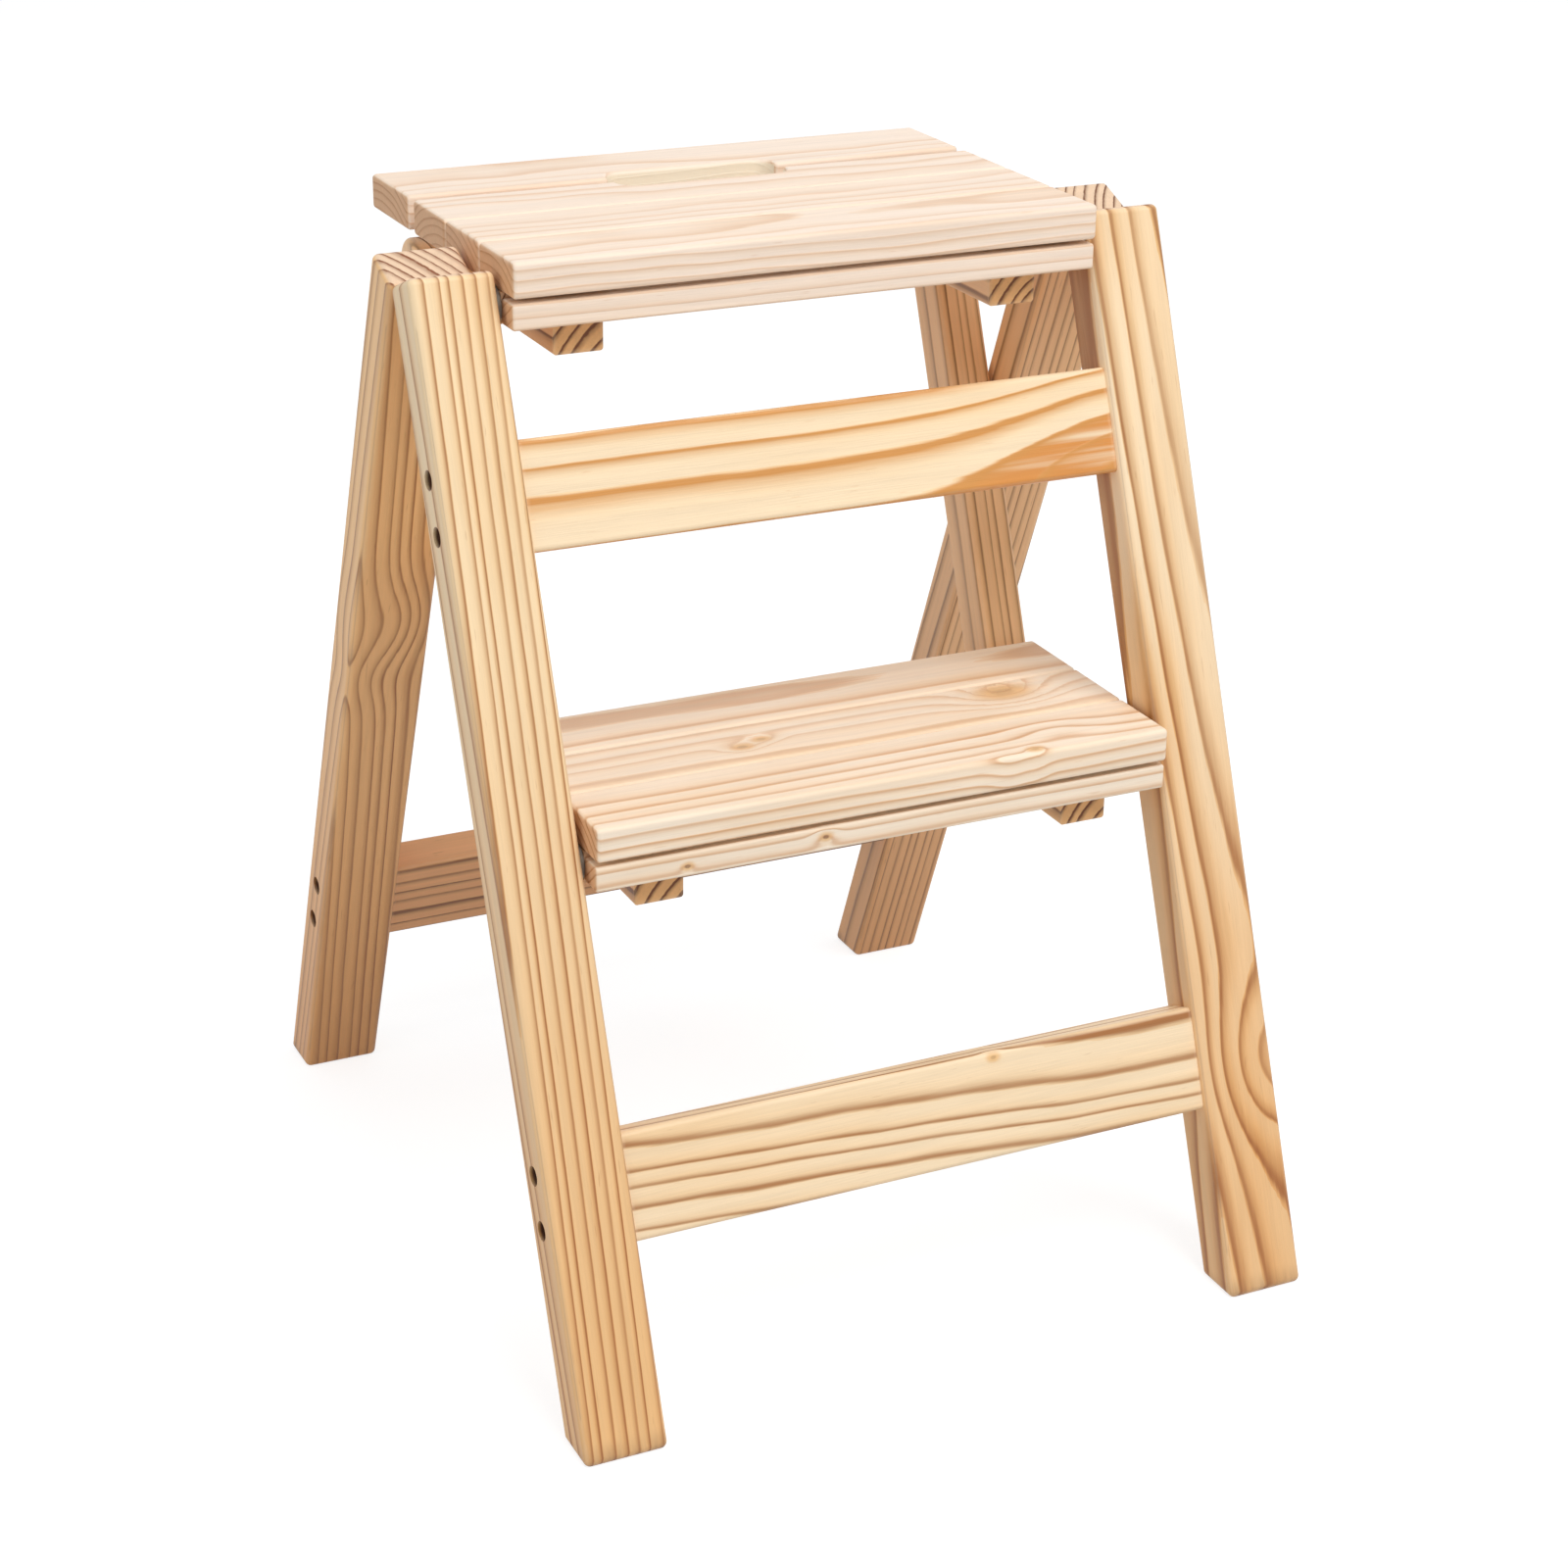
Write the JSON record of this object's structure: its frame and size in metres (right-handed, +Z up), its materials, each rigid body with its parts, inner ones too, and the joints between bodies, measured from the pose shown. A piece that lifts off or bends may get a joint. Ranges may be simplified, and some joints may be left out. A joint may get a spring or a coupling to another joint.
{
  "type": "folding step stool",
  "caption": "Folding wooden step stool with a slatted seat, a hand slot, a lower step, leaning front and rear leg frames and side links that fold the seat and step flat together.",
  "frame": {"origin": "on the floor, at the middle of the stool's footprint", "axes": "+X to the right seen from the front, +Y to the rear, +Z up"},
  "size_m": [0.377, 0.4353, 0.5],
  "materials": {
    "pine_uprights": "satin clear coat over pine, grain along the piece",
    "pine_boards": "satin clear coat over pine, grain along the board",
    "pine_bearers": "satin clear coat over pine, grain along the piece",
    "zinc_steel": "bright zinc plate"
  },
  "bodies": {
    "front_frame": {"front_leg_left": "pine_uprights", "front_leg_right": "pine_uprights", "front_upper_rail": "pine_bearers", "front_lower_rail": "pine_bearers", "front_rail_screws": "zinc_steel", "seat_pivot_bolts": "zinc_steel", "seat_pivot_washers": "zinc_steel", "step_pivot_bolts": "zinc_steel", "step_pivot_washers": "zinc_steel"},
    "seat": {"seat_slat_1": "pine_boards", "seat_slat_2": "pine_boards", "seat_slat_3": "pine_boards", "seat_slat_4": "pine_boards", "seat_apron": "pine_bearers", "seat_cleat_left": "pine_bearers", "seat_cleat_right": "pine_bearers", "seat_pivot_block_left": "pine_bearers", "seat_pivot_block_right": "pine_bearers", "seat_slat_screws": "zinc_steel", "strut_top_bolts": "zinc_steel"},
    "step": {"step_board_1": "pine_boards", "step_board_2": "pine_boards", "step_board_3": "pine_boards", "step_apron": "pine_bearers", "step_cleat_left": "pine_bearers", "step_cleat_right": "pine_bearers", "step_pivot_block_left": "pine_bearers", "step_pivot_block_right": "pine_bearers", "step_board_screws": "zinc_steel"},
    "struts": {"strut_left": "pine_uprights", "strut_right": "pine_uprights", "strut_foot_bolts": "zinc_steel"},
    "rear_frame": {"rear_leg_left": "pine_uprights", "rear_leg_right": "pine_uprights", "rear_rail": "pine_bearers", "rear_rail_screws": "zinc_steel", "rear_pivot_bolts": "zinc_steel", "rear_pivot_washers": "zinc_steel"}
  },
  "joints": [
    {"name": "seat_fold", "type": "hinge", "parent": "front_frame", "child": "seat", "pos_m": [0, -0.02237, 0.4763], "axis": [1, 0, 0], "range_deg": [0, 60]},
    {"name": "step_fold", "type": "hinge", "parent": "front_frame", "child": "step", "pos_m": [0, -0.11124, 0.2448], "axis": [1, 0, 0], "range_deg": [0, 60]},
    {"name": "strut_turn", "type": "hinge", "parent": "seat", "child": "struts", "pos_m": [0, 0.09383, 0.4668], "axis": [1, 0, 0], "range_deg": [-60, 0]},
    {"name": "rear_frame_turn", "type": "hinge", "parent": "struts", "child": "rear_frame", "pos_m": [0, 0.05616, 0.36867], "axis": [1, 0, 0], "range_deg": [-40, 0]}
  ],
  "couplings": [
    {"joint": "step_fold", "follows": "seat_fold", "ratio": 1},
    {"joint": "strut_turn", "follows": "seat_fold", "ratio": -1},
    {"joint": "rear_frame_turn", "follows": "seat_fold", "ratio": -0.6665}
  ]
}
